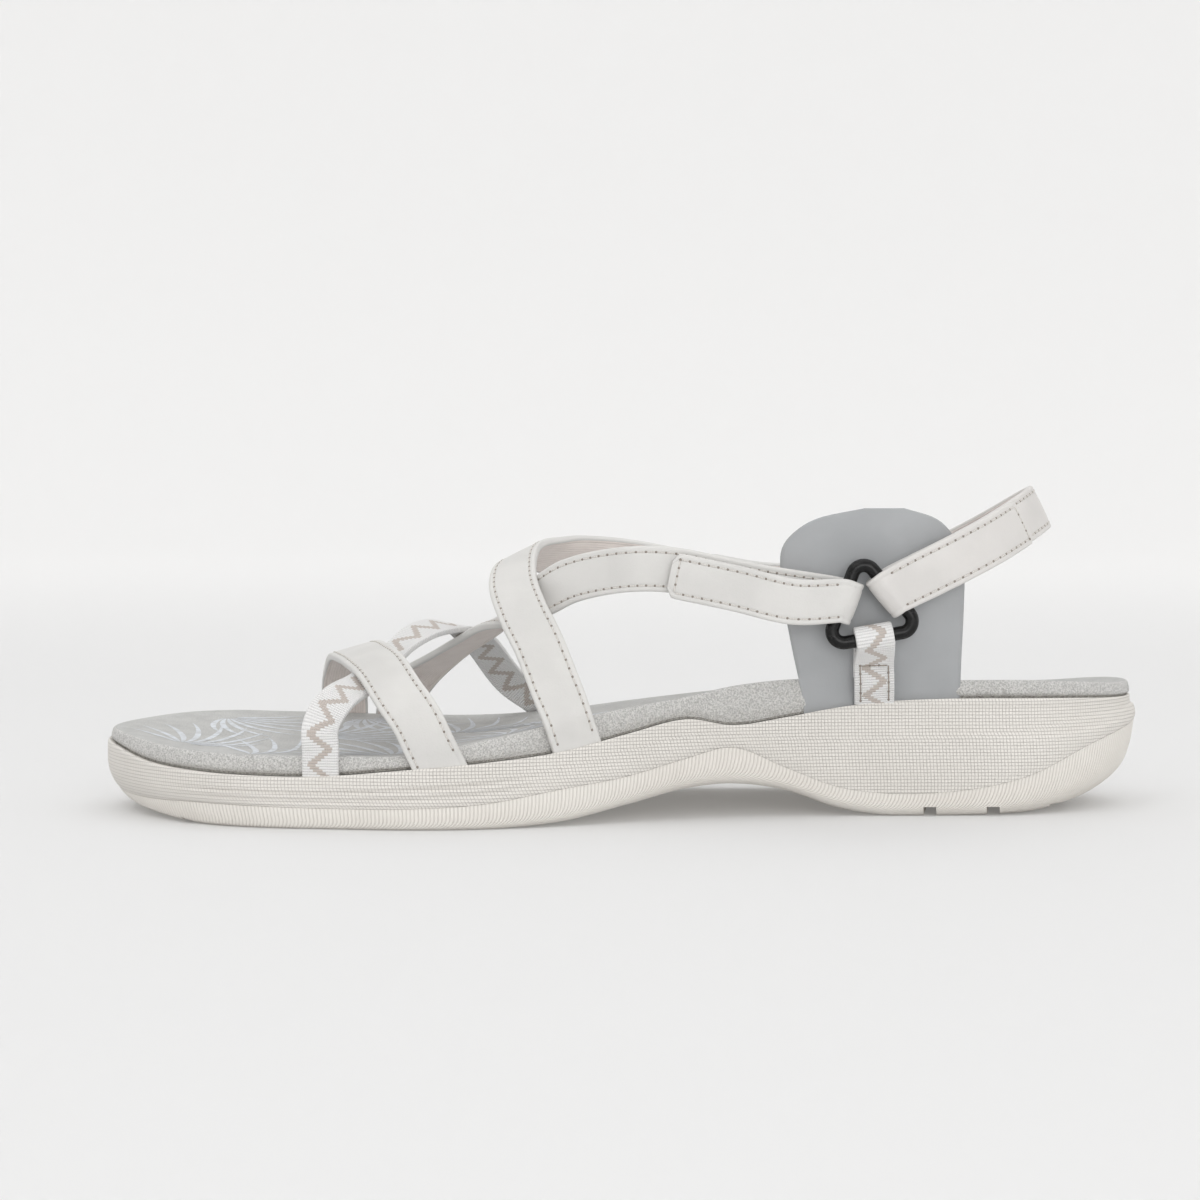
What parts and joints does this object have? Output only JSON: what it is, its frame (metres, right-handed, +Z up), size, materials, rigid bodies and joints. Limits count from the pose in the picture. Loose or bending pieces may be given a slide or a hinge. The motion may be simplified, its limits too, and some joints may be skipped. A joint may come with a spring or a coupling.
{
  "type": "hiking sandal",
  "caption": "Right-foot hiking sandal with a lugged foam sole, a contoured footbed, crossing straps, padded ankle wings and a heel strap on moulded rings.",
  "frame": {"origin": "the middle of the sole's outline on the floor, under the sandal's bounding box", "axes": "+X from the toe to the heel, +Y from the inner side of the foot to the outer side, +Z up"},
  "size_m": [0.267, 0.0932, 0.0828],
  "materials": {
    "rubber": "matte, fine vertical ribs",
    "foam": "matte moulded foam with a fine square grid",
    "footbed": "soft printed fabric over foam",
    "leather": "smooth coated leather with stitched edges",
    "pad": "smooth stretch fabric over foam",
    "ring_plastic": "satin moulded plastic",
    "webbing": "ribbed woven webbing with a zigzag"
  },
  "bodies": {
    "root": {"outsole": "rubber", "midsole": "foam", "insole": "footbed", "upper": "leather", "heel_strap": "leather", "ankle_pad_medial": "pad", "ankle_pad_lateral": "pad", "ring_medial": "ring_plastic", "ring_lateral": "ring_plastic", "ring_webbing_medial": "webbing", "ring_webbing_lateral": "webbing"}
  },
  "joints": []
}
